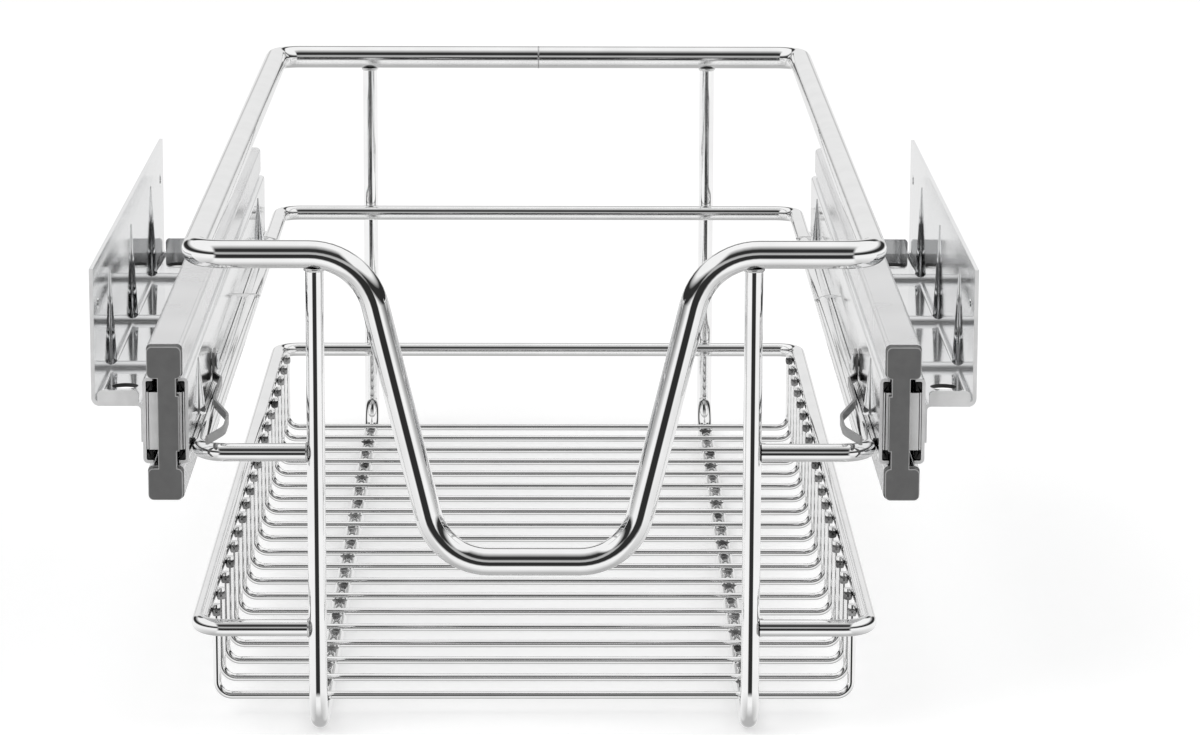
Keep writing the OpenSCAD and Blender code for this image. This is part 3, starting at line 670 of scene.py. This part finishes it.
# Lumps of weld, by their sizes along X, Y and Z.
FLOOR_WELD = (5.2 * MM, 2.8 * MM, 1.6 * MM)
RIM_WELD = (2.9 * MM, 3.0 * MM, 4.4 * MM)
REAR_WELD = (5.2 * MM, 2.6 * MM, 5.0 * MM)
SLIDE_WELD = (2.4 * MM, 14 * MM, 2.6 * MM)
# Beads of weld round the ends of rods, by their own radius.
STUB_BEAD = 0.35 * MM
UPRIGHT_BEAD = 0.5 * MM
BAR_BEAD = 0.4 * MM
# How uneven each kind of weld is.
LUMP_UNEVEN = 0.25 * MM
RIM_UNEVEN = 0.15 * MM
UPRIGHT_UNEVEN = 0.2 * MM
STUB_UNEVEN = 0.08 * MM
BAR_UNEVEN = 0.06 * MM
# How far a rim weld's middle lies under its wire's end, an upright's bead under the bar, and the
# rear bar's bead within its rod, across the diameter.
RIM_WELD_DROP = 2.3 * MM
UPRIGHT_BEAD_DROP = 0.3 * MM
BAR_BEAD_SINK = 0.5 * MM
# Where a slide weld lies along the loop, and its height over the loop's middle in rods.
SLIDE_WELD_YS = (-95 * MM, 25 * MM, 140 * MM)
SLIDE_WELD_RISE = 0.32
# How far each weld is turned from the one before, so that no two look the same.
WELD_TURN = 2.1

WELD_GRAIN = bpy.data.textures.new("weld_grain", "CLOUDS")
WELD_GRAIN.noise_scale = 1.1 * MM


def roughen(piece, depth):
    """Gives a weld its uneven surface."""
    activate(piece)
    uneven = piece.modifiers.new("uneven", "DISPLACE")
    uneven.texture = WELD_GRAIN
    uneven.texture_coords = "LOCAL"
    uneven.strength = depth
    uneven.mid_level = 0.5
    bpy.ops.object.modifier_apply(modifier=uneven.name)
    bpy.ops.object.shade_smooth()


def weld_lump(size, unevenness=LUMP_UNEVEN):
    """A lump of melted metal round the origin, of its own size along each axis."""
    deselect_all()
    bpy.ops.mesh.primitive_uv_sphere_add(segments=16, ring_count=10, radius=0.5, scale=size)
    piece = bpy.context.object
    bpy.ops.object.transform_apply(location=True, rotation=True, scale=True)
    roughen(piece, unevenness)
    return piece


def weld_bead(rod, bead, axis, unevenness):
    """A bead round the end of a rod that runs along an axis through the origin."""
    deselect_all()
    turn = {X: (0, math.pi / 2, 0), Z: (0, 0, 0)}[axis]
    bpy.ops.mesh.primitive_torus_add(major_segments=40, minor_segments=10, major_radius=rod / 2,
                                     minor_radius=bead, rotation=turn)
    piece = bpy.context.object
    bpy.ops.object.transform_apply(location=True, rotation=True, scale=True)
    roughen(piece, unevenness)
    return piece


def copy_to(piece, place, turn):
    """A copy of a finished mesh, turned about Z and moved to a place; the copy has its own mesh."""
    copy = bpy.data.objects.new(piece.name, piece.data.copy())
    copy.data.transform(Matrix.Translation(place) @ Matrix.Rotation(turn, 4, "Z"))
    bpy.context.scene.collection.objects.link(copy)
    return copy


def finish_welds(name, model, places, material=WELD_CHROME):
    """Copies a weld to its places, joins the copies and removes the model."""
    copies = [copy_to(model, Vector(place), WELD_TURN * index) for index, place in enumerate(places)]
    bpy.data.objects.remove(model)
    deselect_all()
    for copy in copies:
        copy.select_set(True)
    bpy.context.view_layer.objects.active = copies[0]
    bpy.ops.object.join()
    finish_piece(name, material, "basket")


def weld_cross_wires():
    """The cross wires' welds on the support wires and on the tray's rim."""
    rows = [middle(name, Y) for name in CROSS_WIRES]
    leg_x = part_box(CROSS_WIRES[0])[1][X] - CROSS_ROD / 2
    leg_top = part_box(CROSS_WIRES[0])[1][Z]
    # These welds take the dark finish, which is partly heat tint and partly painted shade where the cross
    # wires meet the support wires and the rim.
    finish_welds("floor_welds", weld_lump(FLOOR_WELD),
                 [(sign * SUPPORT_X, y, SUPPORT_ROD) for sign in SIGNS for y in rows], BURNT_AND_SHADED_WELD)
    finish_welds("rim_welds", weld_lump(RIM_WELD, RIM_UNEVEN),
                 [(sign * leg_x, y, leg_top - RIM_WELD_DROP) for sign in SIGNS for y in rows], BURNT_AND_SHADED_WELD)


def weld_loops():
    """The two open loops' welds on the support wires, at the front and at the rear."""
    stub_x = SUPPORT_X + SUPPORT_ROD / 2
    finish_welds("middle_stub_welds", weld_bead(MIDDLE_ROD, STUB_BEAD, X, STUB_UNEVEN),
                 [(sign * stub_x, FRONT_Y, MIDDLE_Z) for sign in SIGNS])
    finish_welds("rim_stub_welds", weld_bead(RIM_ROD, STUB_BEAD, X, STUB_UNEVEN),
                 [(sign * stub_x, FRONT_Y, RIM_Z) for sign in SIGNS])
    back_y = REAR_Y - SUPPORT_ROD / 2
    finish_welds("rear_welds", weld_lump(REAR_WELD),
                 [(sign * SUPPORT_X, back_y, z) for sign in SIGNS for z in (MIDDLE_Z, RIM_Z)])


def weld_top_loop():
    """The top loop's welds on the uprights, and the butt weld in its rear bar."""
    bead_z = TOP_Z - TOP_ROD / 2 - UPRIGHT_BEAD_DROP
    finish_welds("upright_welds", weld_bead(SUPPORT_ROD, UPRIGHT_BEAD, Z, UPRIGHT_UNEVEN),
                 [(sign * SUPPORT_X, y, bead_z) for sign in SIGNS for y in (FRONT_Y, REAR_Y)])
    finish_welds("rear_bar_weld", weld_bead(TOP_ROD - BAR_BEAD_SINK, BAR_BEAD, X, BAR_UNEVEN),
                 [(0, REAR_Y, TOP_Z)])


def weld_slides():
    """The middle loop's longer welds on the slides."""
    run_x = MIDDLE_X + MIDDLE_ROD / 2
    z = MIDDLE_Z + MIDDLE_ROD * SLIDE_WELD_RISE
    finish_welds("slide_welds", weld_lump(SLIDE_WELD),
                 [(sign * run_x, y, z) for sign in SIGNS for y in SLIDE_WELD_YS])


FILLET_ROD = 0.9 * MM
FILLET_SIDES = 12
# How far the fillet is sunk in its groove, and how far it ends from the loop's bend and from the
# slide's end.
FILLET_SINK = 0.1 * MM
FILLET_FRONT_GAP = 1 * MM
FILLET_REAR_GAP = 2 * MM


def make_slide_fillet(side):
    """The fine bead of metal in the groove between the middle loop and its slide."""
    sign = 1 if side == "right" else -1
    x = MIDDLE_X + MIDDLE_ROD / 2 - FILLET_ROD / 2
    z = MIDDLE_Z + math.sqrt((MIDDLE_ROD / 2 + FILLET_ROD / 2) ** 2 - (x - MIDDLE_X) ** 2) - FILLET_SINK
    begin = FRONT_Y + LOOP_CORNER_R + FILLET_FRONT_GAP
    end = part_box(side + "_drawer_member")[1][Y] - FILLET_REAR_GAP
    bent_wire([(sign * x, begin, z), (sign * x, end, z)], [], FILLET_ROD, FILLET_SIDES)
    finish_basket_wire(side + "_slide_fillet")


weld_cross_wires()
weld_loops()
weld_top_loop()
weld_slides()
for side in SIDES:
    make_slide_fillet(side)

# ---- Slides, brackets and levers ----

# How far each kind of node has its edges broken.
EDGE_RADIUS = {"side_bracket": 0.25 * MM, "cabinet_member": 0.25 * MM, "drawer_member": 0.25 * MM,
               "outer_rail": 0.25 * MM, "inner_rail": 0.25 * MM, "middle_profile": 0.2 * MM,
               "front_end_cap": 0.7 * MM, "rear_end_cap": 0.6 * MM, "outer_stop": 0.4 * MM,
               "inner_stop": 0.4 * MM, "outer_ball_cage": 0.1 * MM, "inner_ball_cage": 0.1 * MM,
               "release_lever": 0.2 * MM, "bracket_rivets": 0.5 * MM, "lever_rivets": 0.4 * MM,
               "rail_rivets": 0.4 * MM}
SHEARED_KINDS = ("side_bracket", "cabinet_member", "drawer_member", "outer_rail", "inner_rail")

EDGE_STEPS = 2
NODE_MERGE = 0.001 * MM
# Turns between two faces: one flat face up to the first, an edge to break from the second, and
# smooth shading up to the third.
FLAT_TURN = math.radians(0.3)
EDGE_TURN = math.radians(35)
SMOOTH_TURN = math.radians(32)


def soften_node(node, radius):
    """Stands in for a sheet, moulded or extruded node: the same solid with its edges broken."""
    piece = bpy.data.objects.new(node, frame["nodes"][node].data.copy())
    bpy.context.scene.collection.objects.link(piece)
    activate(piece)
    bpy.ops.mesh.customdata_custom_splitnormals_clear()
    bpy.ops.object.mode_set(mode="EDIT")
    bpy.ops.mesh.select_all(action="SELECT")
    bpy.ops.mesh.remove_doubles(threshold=NODE_MERGE)
    bpy.ops.mesh.dissolve_limited(angle_limit=FLAT_TURN)
    bpy.ops.object.mode_set(mode="OBJECT")
    bevel = piece.modifiers.new("broken_edges", "BEVEL")
    bevel.width = radius
    bevel.segments = EDGE_STEPS
    bevel.limit_method = "ANGLE"
    bevel.angle_limit = EDGE_TURN
    bpy.ops.object.modifier_apply(modifier=bevel.name)
    bpy.ops.object.shade_smooth_by_angle(angle=SMOOTH_TURN)
    even = piece.modifiers.new("even_shading", "WEIGHTED_NORMAL")
    even.keep_sharp = True
    bpy.ops.object.modifier_apply(modifier=even.name)
    return finish_piece(node + "_finished", MATERIALS[SLOTS[node]], BODIES[node], [node])


def repaint(piece, material, chosen):
    """Gives a second material to the faces that a test on centre and normal picks."""
    piece.data.materials.append(material)
    index = len(piece.data.materials) - 1
    for face in piece.data.polygons:
        if chosen(face.center, face.normal):
            face.material_index = index


# A face looks along an axis where its normal's share along it is more than the first of these, and
# lies along the axis where that share is less than the second.
FACING = 0.7
LYING = 0.3
# How far the matt ends of a sheet piece reach in from its front and from its rear.
FRONT_END_DEPTH = 1.8 * MM
REAR_END_DEPTH = 0.5 * MM


def show_sheared_ends(piece, node):
    """Leaves the cut ends and the front end lip of a sheet piece matt."""
    low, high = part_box(node)
    repaint(piece, SHEARED_END, lambda centre, normal: abs(normal.y) > FACING
            and (centre.y < low[Y] + FRONT_END_DEPTH or centre.y > high[Y] - REAR_END_DEPTH))


# A bracket's sheet, and how far the press leaves the rear lip of its flange leaning forward.
SHEET_T = 1.2 * MM
LIP_LEAN = math.radians(3)
PLATE_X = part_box("right_side_bracket")[1][X] - SHEET_T
# The lip's points lie this far over the flange, this near the rear end and this clear of the plate.
LIP_BEGINS = 0.3 * MM
LIP_DEPTH = 1.5 * MM
LIP_CLEAR = 0.5 * MM
# The beads rise over the flange between these heights, clear of the plate and of both ends.
BEAD_BEGINS = 0.02 * MM
BEAD_REACH = 3 * MM
BEAD_CLEAR = 2.5 * MM
BEAD_END_CLEAR = 3 * MM
# How far past a punched hole's radius its wall and broken edges reach; the painted shade on the hole walls
# covers this far.
HOLE_EDGE = 0.3 * MM


def flange_holes(side):
    return next(row for row in frame["record"]["mounts"] if row["name"] == side + "_flange_holes")


def lean_rear_lip(piece, side):
    high_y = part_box(side + "_side_bracket")[1][Y]
    flange_top = flange_holes(side)["pos_m"][Z]
    activate(piece)
    bpy.ops.object.mode_set(mode="EDIT")
    bpy.ops.mesh.select_all(action="DESELECT")
    bpy.ops.object.mode_set(mode="OBJECT")
    for vertex in piece.data.vertices:
        place = vertex.co
        vertex.select = (place.z > flange_top + LIP_BEGINS and place.y > high_y - LIP_DEPTH
                         and abs(place.x) < PLATE_X - LIP_CLEAR)
    bpy.ops.object.mode_set(mode="EDIT")
    bpy.ops.transform.rotate(value=-LIP_LEAN, orient_axis="X", orient_type="GLOBAL",
                             center_override=(0, high_y, flange_top))
    bpy.ops.object.mode_set(mode="OBJECT")


def show_pressed_beads(piece, side):
    """Leaves the beads across a bracket's flange satin."""
    low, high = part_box(side + "_side_bracket")
    flange_top = flange_holes(side)["pos_m"][Z]
    repaint(piece, PRESSED_BEAD, lambda centre, normal:
            flange_top + BEAD_BEGINS < centre.z < flange_top + BEAD_REACH
            and abs(centre.x) < PLATE_X - BEAD_CLEAR and abs(normal.x) < LYING
            and low[Y] + BEAD_END_CLEAR < centre.y < high[Y] - BEAD_END_CLEAR)


def paint_hole_wall_shade(piece, side):
    """Paints the walls of the two holes in a bracket's flange near black, as painted shade."""
    mount = flange_holes(side)
    x, y, _ = mount["pos_m"]
    reach = mount["dims"]["hole_r_mm"] * MM + HOLE_EDGE
    half = mount["dims"]["spacing_y_mm"] / 2 * MM
    repaint(piece, SHADED_HOLE_WALL, lambda centre, normal: abs(normal.z) < FACING
            and min(math.hypot(centre.x - x, centre.y - y - half),
                    math.hypot(centre.x - x, centre.y - y + half)) < reach)


def show_stop_sheet(piece, side, place):
    """Shows the plated sheet that carries a stop's two black blocks, between them."""
    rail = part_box(side + "_" + place + "_rail")
    for z in (rail[0][Z], rail[1][Z]):
        activate(piece)
        bpy.ops.object.mode_set(mode="EDIT")
        bpy.ops.mesh.select_all(action="SELECT")
        bpy.ops.mesh.bisect(plane_co=(0, 0, z), plane_no=(0, 0, 1))
        bpy.ops.object.mode_set(mode="OBJECT")
    repaint(piece, SHEARED_END, lambda centre, normal: rail[0][Z] < centre.z < rail[1][Z])


# A face is part of an end cap's broken edges, which get a painted highlight, where its normal's share along
# Y lies between these.
HIGHLIGHT_FROM = 0.2
HIGHLIGHT_TO = 0.98


def paint_edge_highlights(piece):
    """Paints the rounded edges round an end cap's face lighter, as a painted highlight."""
    repaint(piece, NYLON_EDGE_HIGHLIGHT, lambda centre, normal: HIGHLIGHT_FROM < abs(normal.y) < HIGHLIGHT_TO)


def finish_hardware(piece, node, kind):
    """Gives a softened node the finishes of its kind."""
    side = node.split("_")[0]
    if kind in SHEARED_KINDS:
        show_sheared_ends(piece, node)
    if kind == "side_bracket":
        paint_hole_wall_shade(piece, side)
        show_pressed_beads(piece, side)
        lean_rear_lip(piece, side)
    if kind in ("outer_stop", "inner_stop"):
        show_stop_sheet(piece, side, kind.removesuffix("_stop"))
    if kind in ("front_end_cap", "rear_end_cap"):
        paint_edge_highlights(piece)


def make_hardware():
    for node in frame["nodes"]:
        kind = node.removeprefix("left_").removeprefix("right_")
        if kind in EDGE_RADIUS:
            finish_hardware(soften_node(node, EDGE_RADIUS[kind]), node, kind)


make_hardware()

# ---- Closing ----

bpy.context.view_layer.update()
